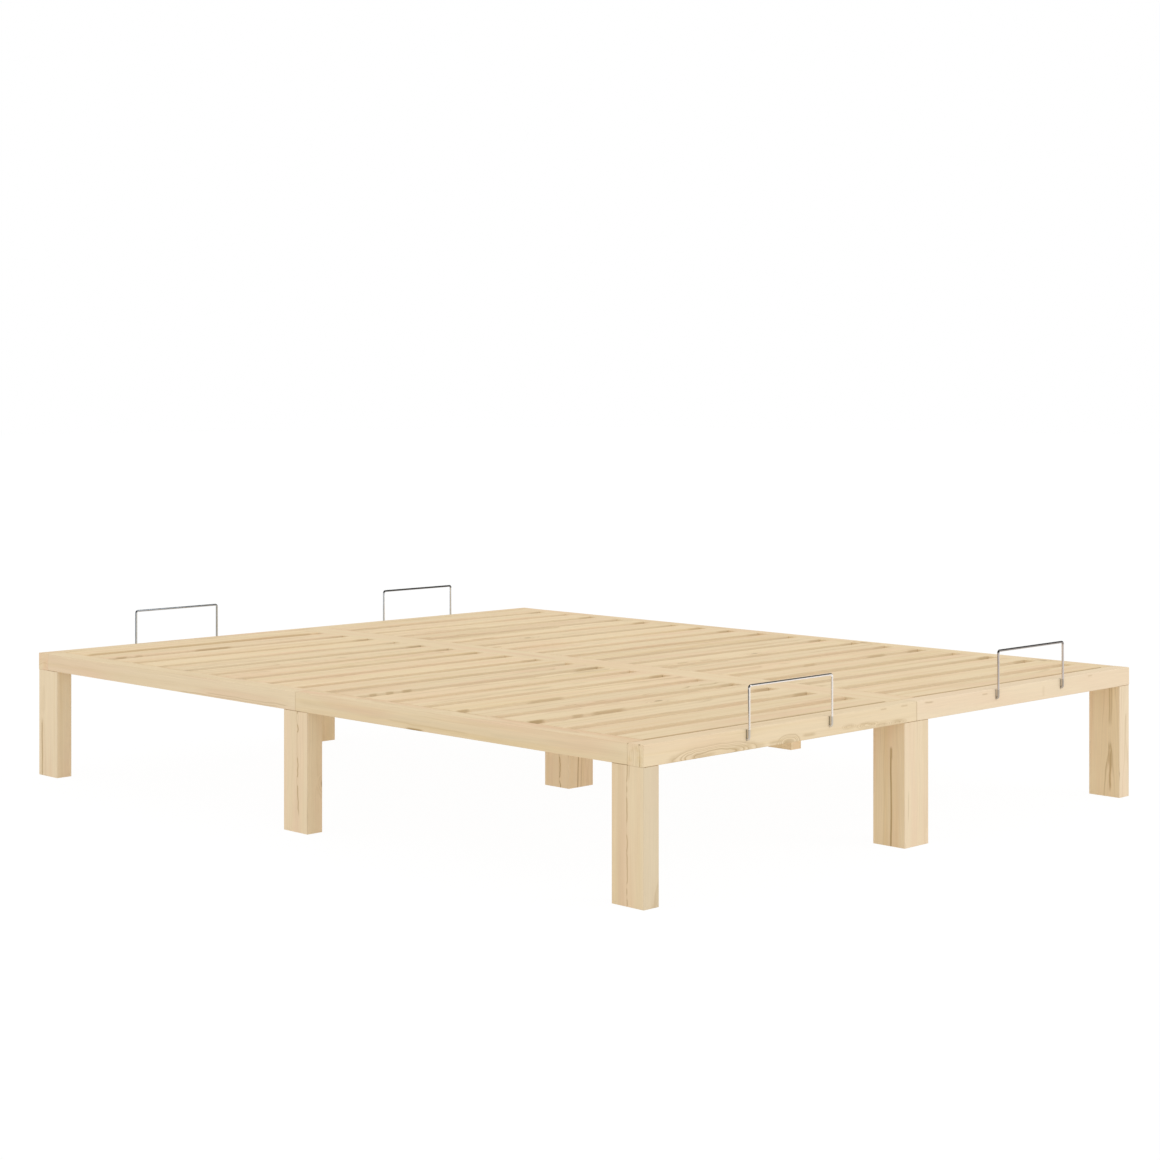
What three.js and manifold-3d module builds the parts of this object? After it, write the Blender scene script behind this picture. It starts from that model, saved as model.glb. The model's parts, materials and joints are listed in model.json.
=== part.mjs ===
// A low wooden slatted bed, 160 by 200 cm, on nine legs, with four steel wire mattress stops.
// Frame: X along the bed, Y across it, Z up, origin on the floor under the middle of the deck.
// The front end is +X, the right side is +Y. All lengths are in millimetres.
import * as THREE from "three";
import { mergeVertices } from "three/addons/utils/BufferGeometryUtils.js";
import Module from "manifold-3d";

const wasm = await Module();
wasm.setup();

// Whole bed
const bedLength = 2000; // also the mattress length, because the stops stand outside the frame
const bedWidth = 1600;
const legHeight = 252; // floor to the underside of the frame

// Timber sections
const railHeight = 40;
const endRailWidth = 40; // seen from above
const sideRailWidth = 45;
const beamWidth = 2 * sideRailWidth; // centre beams, glued up from two rails
const legDepth = 80; // every leg, along the bed
const sideLegWidth = 40; // legs under the side rails, across the bed
const middleLegWidth = 80; // legs under the centre beams
const edgeRadius = 2; // sanded round along every timber
const jointGap = 0.3; // play where two timbers meet

// Slats, set flush with the top of the frame
const slatWidth = 70;
const slatThickness = 24;
const slatsPerBay = 9; // between an end rail and the cross beam
const crossBeamWidth = slatWidth; // it looks like one more slat from above
const endSlatGap = 5; // between an end rail and the slat beside it
const tongueLength = 14; // slat end that sits in the rail's groove
const tongueThickness = 12;

// Joints hidden in the frame
const tenonLength = 12; // side rail or centre beam into an end rail
const tenonHeight = 24;
const railTenonWidth = 20;
const railTenonInset = 10; // from the outer face of the side rail
const beamTenonWidth = 40;
const dowelDiameter = 12; // leg into the frame
const dowelLength = 14; // part of the dowel that stands out of the leg

// Wire mattress stops
const wireDiameter = 5;
const wireBendRadius = 5; // at the wire's centre line
const stopWidth = 244; // between the centre lines of its two uprights
const stopRise = 80; // deck to the centre line of the bar
const stopFootLength = 30; // wire inside the end rail

// Facets
const cornerSegments = 3;
const dowelSides = 16;
const wireSides = 10;
const bendSteps = 4;

// Derived sizes and places
const halfLength = bedLength / 2;
const halfWidth = bedWidth / 2;
const halfBeam = beamWidth / 2;
const halfCrossBeam = crossBeamWidth / 2;
const halfGap = jointGap / 2;
const deckTop = legHeight + railHeight;
const railMiddle = legHeight + railHeight / 2;
const endRailInner = halfLength - endRailWidth;
const sideRailInner = halfWidth - sideRailWidth;
const slatBottom = deckTop - slatThickness;
const slatMiddle = deckTop - slatThickness / 2;
const bayWidth = sideRailInner - halfBeam; // side rail to centre beam
const bayLength = endRailInner - halfCrossBeam; // end rail to cross beam
const slatPitch = (bayLength - endSlatGap) / slatsPerBay;
const bayMiddle = halfBeam + bayWidth / 2;
const stopOffset = halfWidth / 2; // each stop is centred on its half of the end rail
const overrun = railHeight; // how far a cutter runs past the timber that it cuts

// Ends of the bed and sides of the bed, with the sign of their axis
const ends = [["front", 1], ["back", -1]];
const sides = [["left", -1], ["right", 1]];

const axisX = new THREE.Vector3(1, 0, 0);
const axisY = new THREE.Vector3(0, 1, 0);
const axisZ = new THREE.Vector3(0, 0, 1);

// Closed three.js geometry to a solid that can be cut and joined
function toSolid(geometry) {
  const bare = geometry.clone();
  bare.deleteAttribute("normal");
  bare.deleteAttribute("uv");
  const merged = mergeVertices(bare);
  return new wasm.Manifold(new wasm.Mesh({
    numProp: 3,
    vertProperties: new Float32Array(merged.attributes.position.array),
    triVerts: new Uint32Array(merged.index.array),
  }));
}

function toGeometry(solid) {
  const mesh = solid.getMesh();
  const geometry = new THREE.BufferGeometry();
  geometry.setAttribute("position", new THREE.BufferAttribute(mesh.vertProperties, 3));
  geometry.setIndex(new THREE.BufferAttribute(mesh.triVerts, 1));
  geometry.computeVertexNormals();
  return geometry;
}

// Box between two opposite corners, given as ranges along X, Y and Z
function block([xLow, xHigh], [yLow, yHigh], [zLow, zHigh]) {
  const geometry = new THREE.BoxGeometry(xHigh - xLow, yHigh - yLow, zHigh - zLow);
  geometry.translate((xLow + xHigh) / 2, (yLow + yHigh) / 2, (zLow + zHigh) / 2);
  return toSolid(geometry);
}

// Two signed distances from the middle of the bed, lowest first
function span(sign, near, far) {
  return sign > 0 ? [near, far] : [-far, -near];
}

// Planed timber with its four long edges rounded, centred on the origin.
// Its length runs along the named axis; height is always along Z, or along Y for an upright.
function timber(axis, length, width, height) {
  const right = width / 2;
  const top = height / 2;
  const radius = edgeRadius;
  const quarter = Math.PI / 2;
  const section = new THREE.Shape();
  section.absarc(right - radius, top - radius, radius, 0, quarter);
  section.absarc(radius - right, top - radius, radius, quarter, 2 * quarter);
  section.absarc(radius - right, radius - top, radius, 2 * quarter, 3 * quarter);
  section.absarc(right - radius, radius - top, radius, 3 * quarter, 4 * quarter);
  const geometry = new THREE.ExtrudeGeometry(section, {
    depth: length,
    bevelEnabled: false,
    curveSegments: cornerSegments,
  });
  geometry.translate(0, 0, -length / 2);
  const turn = new THREE.Matrix4();
  if (axis === "x") turn.makeBasis(axisY, axisZ, axisX);
  if (axis === "y") turn.makeBasis(axisX.clone().negate(), axisZ, axisY);
  geometry.applyMatrix4(turn);
  return toSolid(geometry);
}

// Round bar from the given centre of its lower end, standing up along Z
function uprightRod(radius, length, sideCount, x, y, z) {
  const geometry = new THREE.CylinderGeometry(radius, radius, length, sideCount);
  geometry.applyMatrix4(new THREE.Matrix4().makeBasis(axisX, axisZ, axisY.clone().negate()));
  geometry.translate(x, y, z + length / 2);
  return toSolid(geometry);
}

const bed = new THREE.Group();
bed.name = "wooden_bed";

// Adds a solid given in bed coordinates as a mesh placed at its own centre
function addPiece(name, solid, centre, material) {
  const [x, y, z] = centre;
  const mesh = new THREE.Mesh(toGeometry(solid.translate([-x, -y, -z])), material);
  mesh.name = name;
  mesh.position.set(x, y, z);
  bed.add(mesh);
}

function pine(colour) {
  return new THREE.MeshStandardMaterial({ color: colour, roughness: 0.6, metalness: 0 });
}

// Hidden joints

// Every leg carries short dowels that stand up into the timbers above it
const legPlaces = [];
for (const [endName, endSign] of ends) {
  const x = endSign * (halfLength - legDepth / 2);
  const railLine = endSign * (halfLength - endRailWidth / 2);
  const innerLine = endSign * (halfLength - (endRailWidth + legDepth) / 2);
  for (const [sideName, sideSign] of sides) {
    const y = sideSign * (halfWidth - sideLegWidth / 2);
    legPlaces.push({
      name: `leg_${endName}_${sideName}`,
      x,
      y,
      width: sideLegWidth,
      dowels: [[railLine, y], [innerLine, y]],
    });
  }
  legPlaces.push({
    name: `leg_${endName}_middle`,
    x,
    y: 0,
    width: middleLegWidth,
    dowels: [[railLine, -middleLegWidth / 4], [railLine, middleLegWidth / 4], [innerLine, 0]],
  });
}
for (const [sideName, sideSign] of sides) {
  const y = sideSign * (halfWidth - sideLegWidth / 2);
  legPlaces.push({
    name: `leg_centre_${sideName}`,
    x: 0,
    y,
    width: sideLegWidth,
    dowels: [[-legDepth / 4, y], [legDepth / 4, y]],
  });
}
legPlaces.push({
  name: "leg_centre_middle",
  x: 0,
  y: 0,
  width: middleLegWidth,
  dowels: [[0, -middleLegWidth / 4], [0, middleLegWidth / 4]],
});

// Tenons at the ends of the side rails and centre beams, and with a clearance their mortises
function railTenon(endSign, sideSign, clearance) {
  const outer = halfWidth - railTenonInset;
  return block(
    span(endSign, endRailInner - tenonLength, endRailInner + tenonLength + clearance),
    span(sideSign, outer - railTenonWidth - clearance, outer + clearance),
    [railMiddle - tenonHeight / 2 - clearance, railMiddle + tenonHeight / 2 + clearance],
  );
}

function beamTenon(endSign, clearance) {
  const half = beamTenonWidth / 2 + clearance;
  return block(
    span(endSign, endRailInner - tenonLength, endRailInner + tenonLength + clearance),
    [-half, half],
    [railMiddle - tenonHeight / 2 - clearance, railMiddle + tenonHeight / 2 + clearance],
  );
}

// Groove for the slats' tongues, cut into a face at distance |face| from the centre line
function slatGroove(xRange, face, inward) {
  const floor = face + inward * tongueLength;
  return block(
    xRange,
    [Math.min(face - inward * overrun, floor), Math.max(face - inward * overrun, floor)],
    [slatBottom - jointGap, slatBottom + tongueThickness + jointGap],
  );
}

function cutDowelHoles(solid) {
  let cut = solid;
  const radius = dowelDiameter / 2 + jointGap;
  for (const leg of legPlaces) {
    for (const [x, y] of leg.dowels) {
      const length = overrun + dowelLength + jointGap;
      cut = cut.subtract(uprightRod(radius, length, dowelSides, x, y, legHeight - overrun));
    }
  }
  return cut;
}

// Holes that the feet of the stops slide in
function cutStopHoles(solid, endSign, sideSign) {
  let cut = solid;
  const radius = (wireDiameter / 2 + jointGap) / Math.cos(Math.PI / wireSides);
  const length = stopFootLength + jointGap + overrun;
  for (const upright of [-1, 1]) {
    const geometry = new THREE.CylinderGeometry(radius, radius, length, wireSides);
    geometry.applyMatrix4(new THREE.Matrix4().makeBasis(axisZ, axisX, axisY));
    geometry.translate(
      endSign * (halfLength + overrun - length / 2),
      sideSign * stopOffset + upright * stopWidth / 2,
      railMiddle,
    );
    cut = cut.subtract(toSolid(geometry));
  }
  return cut;
}

// Legs

for (const { name, x, y, width, dowels } of legPlaces) {
  const height = legHeight - jointGap;
  let leg = timber("z", height, legDepth, width).translate([x, y, height / 2]);
  for (const [dowelX, dowelY] of dowels) {
    const length = 2 * dowelLength + jointGap;
    const foot = height - dowelLength;
    leg = leg.add(uprightRod(dowelDiameter / 2, length, dowelSides, dowelX, dowelY, foot));
  }
  addPiece(name, leg, [x, y, 0], pine(0xdcc49c));
}

// End rails, each in two halves that meet over the middle leg

for (const [endName, endSign] of ends) {
  for (const [sideName, sideSign] of sides) {
    const length = halfWidth - halfGap;
    const centre = [
      endSign * (halfLength - endRailWidth / 2),
      sideSign * (halfWidth + halfGap) / 2,
      railMiddle,
    ];
    let rail = timber("y", length, endRailWidth, railHeight).translate(centre);
    rail = rail.subtract(railTenon(endSign, sideSign, jointGap));
    rail = rail.subtract(beamTenon(endSign, jointGap));
    rail = cutDowelHoles(rail);
    rail = cutStopHoles(rail, endSign, sideSign);
    addPiece(`end_rail_${endName}_${sideName}`, rail, centre, pine(0xe5cfaa));
  }
}

// Side rails, each in two halves that meet over the centre leg of their side

for (const [sideName, sideSign] of sides) {
  for (const [endName, endSign] of ends) {
    const length = endRailInner - jointGap - halfGap;
    const centre = [
      endSign * (halfGap + length / 2),
      sideSign * (halfWidth - sideRailWidth / 2),
      railMiddle,
    ];
    let rail = timber("x", length, sideRailWidth, railHeight).translate(centre);
    rail = rail.add(railTenon(endSign, sideSign, 0));
    rail = rail.subtract(slatGroove([-halfLength, halfLength], sideSign * sideRailInner, sideSign));
    rail = cutDowelHoles(rail);
    addPiece(`side_rail_${sideName}_${endName}`, rail, centre, pine(0xdfc8a3));
  }
}

// Cross beam, halved under the centre beams where they cross over the centre leg

{
  const length = 2 * (sideRailInner + tongueLength - jointGap);
  const centre = [0, 0, railMiddle];
  const shoulder = sideRailInner - jointGap;
  const across = [-crossBeamWidth, crossBeamWidth];
  let beam = timber("y", length, crossBeamWidth, railHeight).translate(centre);
  for (const [, sideSign] of sides) {
    const past = span(sideSign, shoulder, halfWidth + overrun);
    beam = beam.subtract(block(across, past, [0, slatBottom]));
    beam = beam.subtract(block(across, past, [slatBottom + tongueThickness, deckTop + overrun]));
  }
  const lap = halfBeam + jointGap;
  beam = beam.subtract(block(across, [-lap, lap], [railMiddle - halfGap, deckTop + overrun]));
  addPiece("cross_beam", cutDowelHoles(beam), centre, pine(0xe3cca6));
}

// Centre beams, from each end rail to the middle of the cross beam

for (const [endName, endSign] of ends) {
  const length = endRailInner - jointGap - halfGap;
  const centre = [endSign * (halfGap + length / 2), 0, railMiddle];
  let beam = timber("x", length, beamWidth, railHeight).translate(centre);
  beam = beam.add(beamTenon(endSign, 0));
  beam = beam.subtract(block(
    span(endSign, -overrun, halfCrossBeam + jointGap),
    [-beamWidth, beamWidth],
    [0, railMiddle + halfGap],
  ));
  for (const [, sideSign] of sides) {
    const bay = span(endSign, halfCrossBeam, halfLength);
    beam = beam.subtract(slatGroove(bay, sideSign * halfBeam, -sideSign));
  }
  addPiece(`centre_beam_${endName}`, cutDowelHoles(beam), centre, pine(0xe6d0ac));
}

// Slats: a tongue on each end, and a gap after each slat on the way to the cross beam

function makeSlat() {
  const shoulder = bayWidth / 2 - jointGap;
  const tip = shoulder + tongueLength;
  const end = [shoulder, tip + overrun];
  const above = [tongueThickness - slatThickness / 2, slatThickness];
  const across = [-slatWidth, slatWidth];
  return timber("y", 2 * tip, slatWidth, slatThickness)
    .subtract(block(across, end, above))
    .subtract(block(across, [-end[1], -end[0]], above));
}

const slat = makeSlat();
const slatColours = [0xe8d3b0, 0xe2caa2, 0xe6cfa8, 0xdfc59b, 0xe9d5b4];
for (const [sideName, sideSign] of sides) {
  let number = 0;
  for (const [, endSign] of ends) {
    for (let place = 0; place < slatsPerBay; place += 1) {
      const fromEnd = endSign > 0 ? place : slatsPerBay - 1 - place;
      const fromMiddle = endRailInner - endSlatGap - slatWidth / 2 - fromEnd * slatPitch;
      number += 1;
      const name = `slat_${sideName}_${String(number).padStart(2, "0")}`;
      const colour = slatColours[(number * 3 + (sideSign > 0 ? 1 : 0)) % slatColours.length];
      const centre = [endSign * fromMiddle, sideSign * bayMiddle, slatMiddle];
      addPiece(name, slat.translate(centre), centre, pine(colour));
    }
  }
}

// Mattress stops: one wire each, bent into a bridge with its two feet turned into the rail

// Straight runs take one step each and bends take bendSteps, so the wire keeps few facets
class WireRoute extends THREE.Curve {
  constructor(stations) {
    super();
    this.stations = stations;
  }

  getPoint(t, target = new THREE.Vector3()) {
    const place = t * (this.stations.length - 1);
    const index = Math.min(Math.floor(place), this.stations.length - 2);
    const { point } = this.stations[index];
    return target.lerpVectors(point, this.stations[index + 1].point, place - index);
  }

  getPointAt(u, target) {
    return this.getPoint(u, target);
  }

  getTangentAt(u, target = new THREE.Vector3()) {
    const place = Math.round(u * (this.stations.length - 1));
    return target.copy(this.stations[place].tangent);
  }
}

// Stations of a wire that runs through the given corners with one bend radius
function bentWire(corners, radius) {
  const first = corners[1].clone().sub(corners[0]).normalize();
  const stations = [{ point: corners[0], tangent: first }];
  for (let corner = 1; corner < corners.length - 1; corner += 1) {
    const incoming = corners[corner].clone().sub(corners[corner - 1]).normalize();
    const outgoing = corners[corner + 1].clone().sub(corners[corner]).normalize();
    const start = corners[corner].clone().addScaledVector(incoming, -radius);
    for (let step = 0; step <= bendSteps; step += 1) {
      const angle = (step / bendSteps) * Math.PI / 2;
      const point = start.clone()
        .addScaledVector(incoming, radius * Math.sin(angle))
        .addScaledVector(outgoing, radius * (1 - Math.cos(angle)));
      const tangent = incoming.clone().multiplyScalar(Math.cos(angle))
        .addScaledVector(outgoing, Math.sin(angle));
      stations.push({ point, tangent });
    }
  }
  const last = corners[corners.length - 1];
  stations.push({ point: last, tangent: last.clone().sub(corners[corners.length - 2]).normalize() });
  return stations;
}

// Stop at the front end, its origin on the rail's face between its two feet
function makeStop() {
  const bar = deckTop + stopRise - railMiddle;
  const half = stopWidth / 2;
  const corners = [
    new THREE.Vector3(-stopFootLength, -half, 0),
    new THREE.Vector3(wireBendRadius, -half, 0),
    new THREE.Vector3(wireBendRadius, -half, bar),
    new THREE.Vector3(wireBendRadius, half, bar),
    new THREE.Vector3(wireBendRadius, half, 0),
    new THREE.Vector3(-stopFootLength, half, 0),
  ];
  const stations = bentWire(corners, wireBendRadius);
  const section = new THREE.Shape().absarc(0, 0, wireDiameter / 2, 0, 2 * Math.PI);
  return new THREE.ExtrudeGeometry(section, {
    steps: stations.length - 1,
    curveSegments: wireSides / 2,
    extrudePath: new WireRoute(stations),
  });
}

for (const [endName, endSign] of ends) {
  const turned = new THREE.Group();
  turned.rotation.z = endSign > 0 ? 0 : Math.PI;
  bed.add(turned);
  for (const [sideName, sideSign] of sides) {
    const steel = new THREE.MeshStandardMaterial({ color: 0xb9bbbd, roughness: 0.25, metalness: 1 });
    const stop = new THREE.Mesh(makeStop(), steel);
    stop.name = `mattress_stop_${endName}_${sideName}`;
    stop.position.set(halfLength, endSign * sideSign * stopOffset, railMiddle);
    turned.add(stop);
  }
}

export default bed;
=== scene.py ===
import json
import math
import random
import bmesh
import bpy
from mathutils import Matrix, Vector

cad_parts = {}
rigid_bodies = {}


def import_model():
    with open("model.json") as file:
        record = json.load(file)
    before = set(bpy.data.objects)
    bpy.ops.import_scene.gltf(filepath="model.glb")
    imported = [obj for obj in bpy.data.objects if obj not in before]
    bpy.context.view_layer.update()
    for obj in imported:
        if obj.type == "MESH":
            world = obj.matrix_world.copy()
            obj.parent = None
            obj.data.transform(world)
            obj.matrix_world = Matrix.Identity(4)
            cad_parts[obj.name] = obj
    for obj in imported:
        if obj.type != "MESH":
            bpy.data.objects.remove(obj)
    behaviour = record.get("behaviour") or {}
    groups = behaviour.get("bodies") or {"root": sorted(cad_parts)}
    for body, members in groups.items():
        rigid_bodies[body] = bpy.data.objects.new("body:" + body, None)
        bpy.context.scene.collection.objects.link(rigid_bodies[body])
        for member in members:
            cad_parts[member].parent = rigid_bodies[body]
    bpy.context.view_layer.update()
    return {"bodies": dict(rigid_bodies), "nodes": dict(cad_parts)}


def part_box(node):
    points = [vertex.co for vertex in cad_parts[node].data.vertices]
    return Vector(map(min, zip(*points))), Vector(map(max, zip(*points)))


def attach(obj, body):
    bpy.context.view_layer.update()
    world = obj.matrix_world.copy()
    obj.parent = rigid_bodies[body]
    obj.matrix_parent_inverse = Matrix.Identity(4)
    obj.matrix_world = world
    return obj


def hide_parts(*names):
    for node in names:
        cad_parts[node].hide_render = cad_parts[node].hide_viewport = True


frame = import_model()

mm = 0.001
noiseSpan = (0.3, 0.7)  # most values of a noise lie between these


# shared helpers

def srgb(hexCode):
    # hex colour, as picked in a paint program, to the linear values that shaders want
    channels = [int(hexCode[i:i + 2], 16) / 255 for i in (1, 3, 5)]
    return [c / 12.92 if c <= 0.04045 else ((c + 0.055) / 1.055) ** 2.4 for c in channels] + [1]


def addNode(tree, kind, settings=None, links=None):
    # settings are the node's own properties, links fill its inputs with a value or a socket
    node = tree.nodes.new(kind)
    for key, value in (settings or {}).items():
        setattr(node, key, value)
    for key, value in (links or {}).items():
        if isinstance(value, bpy.types.NodeSocket):
            tree.links.new(value, node.inputs[key])
        else:
            node.inputs[key].default_value = value
    return node


def newMaterial(name):
    material = bpy.data.materials.new(name)
    material.use_nodes = True
    tree = material.node_tree
    tree.nodes.clear()
    output = addNode(tree, "ShaderNodeOutputMaterial")
    return material, tree, output


def addObject(name, data):
    thing = bpy.data.objects.new(name, data)
    bpy.context.scene.collection.objects.link(thing)
    return thing


def boxOf(node):
    low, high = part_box(node)
    return Vector([float(v) for v in low]), Vector([float(v) for v in high])


def middleOf(node):
    low, high = boxOf(node)
    return (low + high) / 2 / mm


# planed pine

pineLook = {
    "earlywood": "#EAD5B1",  # the pale spring growth
    "latewood": "#AB8D5D",  # the darker line that closes each year
    "heart": "#DFC497",  # warmer wood near the pith
    "heartReach": (58.0, 22.0),  # mm from the pith, where it begins and is full
    "blush": "#E8CAA8",  # patches that turned pink in the light
    "honey": "#DCC18F",  # streaks with more resin
    "patches": {"blush": (0.45, 0.7), "honey": (0.5, 0.78)},  # where in their noise they begin and are full
    "knot": "#9C8258",
    "wireShadow": "#71674F",  # painted shadow of the wire on the wood, where it leans on it
    "sawn": "#D3C5AC",  # faces left from the saw, greyer than the planed ones
    "sapwood": "#EFDEC7",  # the palest wood, under the bark
    "endGrain": 1.02,  # how pale the cut ends are beside the rest
    "cutEnd": (0.5, 0.9),  # how far a face looks along the timber, to begin and to be a cut end

    "ringSpacing": 3.4,  # mm of growth in a year
    "ring": [(0.0, 0.15), (0.3, 0.0), (0.8, 0.6), (0.92, 1.0), (1.0, 0.15)],  # how dark, through a year
    "taper": 0.006,  # the trunk narrows, so a flat face shows long arches
    "wander": 12,  # mm, the tree never grew straight
    "ripple": 2.6,  # mm, small waves in the growth, which close the arches into loops
    "layers": {  # mm along the board, mm across it, detail
        "warp": (680, 90, 1.5),
        "ripple": (85, 34, 1.0),
        "fade": (240, 22, 1.0),
        "honey": (560, 13, 2.0),
        "blush": (330, 38, 1.0),
        "zigzag": (24, 90, 1.0),
        "fibre": (80, 2.0, 2.0),  # real fibres are finer, and wouldn't show
    },
    "layerStep": 7.3,  # keeps the layers apart, so that no two are alike
    "years": {  # good and bad ones: mm of growth from one to the next, and what keeps boards apart
        "spacing": (15.0, 5.3),
        "strength": (4.6, 2.9),
    },
    "badYears": 9.0,  # mm by which they crowd the rings
    "lineWeights": {  # what a year line's strength hangs on: from, to, and the weight at each
        "strength": (0.46, 0.66, 0.16, 1.0),
        "fade": (0.38, 0.62, 0.3, 1.0),
        "plainness": (0.7, 0.98, 0.3, 1.0),
    },

    "knotLength": 520,  # mm of board for one possible knot
    "knotWidth": 62,  # mm
    "knotSteps": (3.7, 1.9),  # keep the knots of two boards apart
    "knotScatter": 0.8,  # 0 would put them in even rows
    "knotOval": 0.45,  # how wide one is beside its length
    "knotSize": 4.5,  # mm
    "knotCore": (1.5, 0.7),  # sizes from its middle, where the dark core begins and is full
    "knotDark": 0.7,
    "noKnot": 1000.0,  # mm, past every swirl
    "swirl": (26.0, 3.0),  # mm from a knot, where the rings begin to bend round it and bend most
    "swell": 10.0,  # mm of bend
    "swirlDent": 0.24,  # how uneven a swirl is beside its reach
    "swirlLines": (30.0, 12.0, 0.8),  # mm from a knot, where its lines begin and are full, and how strong

    "markRipple": 8.0,  # mm by which a dark line sways, if it zigzags
    "markEnd": 25,  # mm over which it fades out at either end
    "markEndShare": 0.3,  # of its length, the most that is for one end
    "crossEnd": 3,  # mm, the same for a line that lies across the board
    "dashesFrom": 5,  # mm of zigzag from which a line breaks up into dashes
    "dashes": (0.4, 0.5, 0.3),  # where in the zigzag they begin and are full, and what is left between

    "roughness": 0.8,
    "roughnessSwing": 0.06,
    "specular": 0.1,
    "ior": 1.45,
    "fibreTone": (0.965, 1.025),  # how dark and how pale single fibres are
    "bump": 0.1,  # mm
    "bumpStrength": 0.4,
    "lineDepth": 0.6,  # how deep the year lines lie beside the fibres
}


def layOutBoard(tree, node, board):
    # mm from the middle of the piece: x along the timber, y and z across it
    turn = {"x": (0, 0, 0), "y": (0, 0, -math.pi / 2), "z": (0, math.pi / 2, 0)}[board["axis"]]
    turned = Matrix.Rotation(turn[2], 3, "Z") @ Matrix.Rotation(turn[1], 3, "Y")
    coords = addNode(tree, "ShaderNodeTexCoord")
    point = addNode(tree, "ShaderNodeMapping", {}, {
        "Vector": coords.outputs["Object"], "Rotation": turn, "Scale": [1 / mm] * 3,
        "Location": -(turned @ middleOf(node)),
    }).outputs["Vector"]
    facing = addNode(tree, "ShaderNodeMapping", {"vector_type": "VECTOR"}, {
        "Vector": coords.outputs["Normal"], "Rotation": turn,
    }).outputs["Vector"]
    along, side, up = addNode(tree, "ShaderNodeSeparateXYZ", {}, {0: point}).outputs
    turnedAway = addNode(tree, "ShaderNodeVectorMath", {"operation": "ABSOLUTE"}, {0: facing}).outputs[0]
    endness = addNode(tree, "ShaderNodeSeparateXYZ", {}, {0: turnedAway}).outputs["X"]
    return {
        "point": point, "along": along, "side": side, "up": up,
        "facing": facing, "turnedAway": turnedAway, "endness": endness,
    }


def addLayers(tree, board, grain):
    # one noise for each kind of change, stretched along the timber
    place = grain["point"]
    for count, (key, (length, width, detail)) in enumerate(pineLook["layers"].items()):
        stretched = addNode(tree, "ShaderNodeVectorMath", {"operation": "MULTIPLY"}, {
            0: place, 1: (1 / length, 1 / width, 1 / width),
        })
        noise = addNode(tree, "ShaderNodeTexNoise", {"noise_dimensions": "4D"}, {
            "Vector": stretched.outputs[0], "W": board["seed"] + pineLook["layerStep"] * count,
            "Scale": 1.0, "Detail": detail,
        })
        grain[key] = noise.outputs["Fac"]
        if key == "warp":  # this one bends all that follow
            centred = addNode(tree, "ShaderNodeVectorMath", {"operation": "SUBTRACT"}, {
                0: noise.outputs["Color"], 1: (0.5, 0.5, 0.5),
            })
            place = addNode(tree, "ShaderNodeVectorMath", {"operation": "MULTIPLY_ADD"}, {
                0: centred.outputs[0], 1: (0, pineLook["wander"], pineLook["wander"]), 2: place,
            }).outputs[0]
    grain["place"] = place


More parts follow.
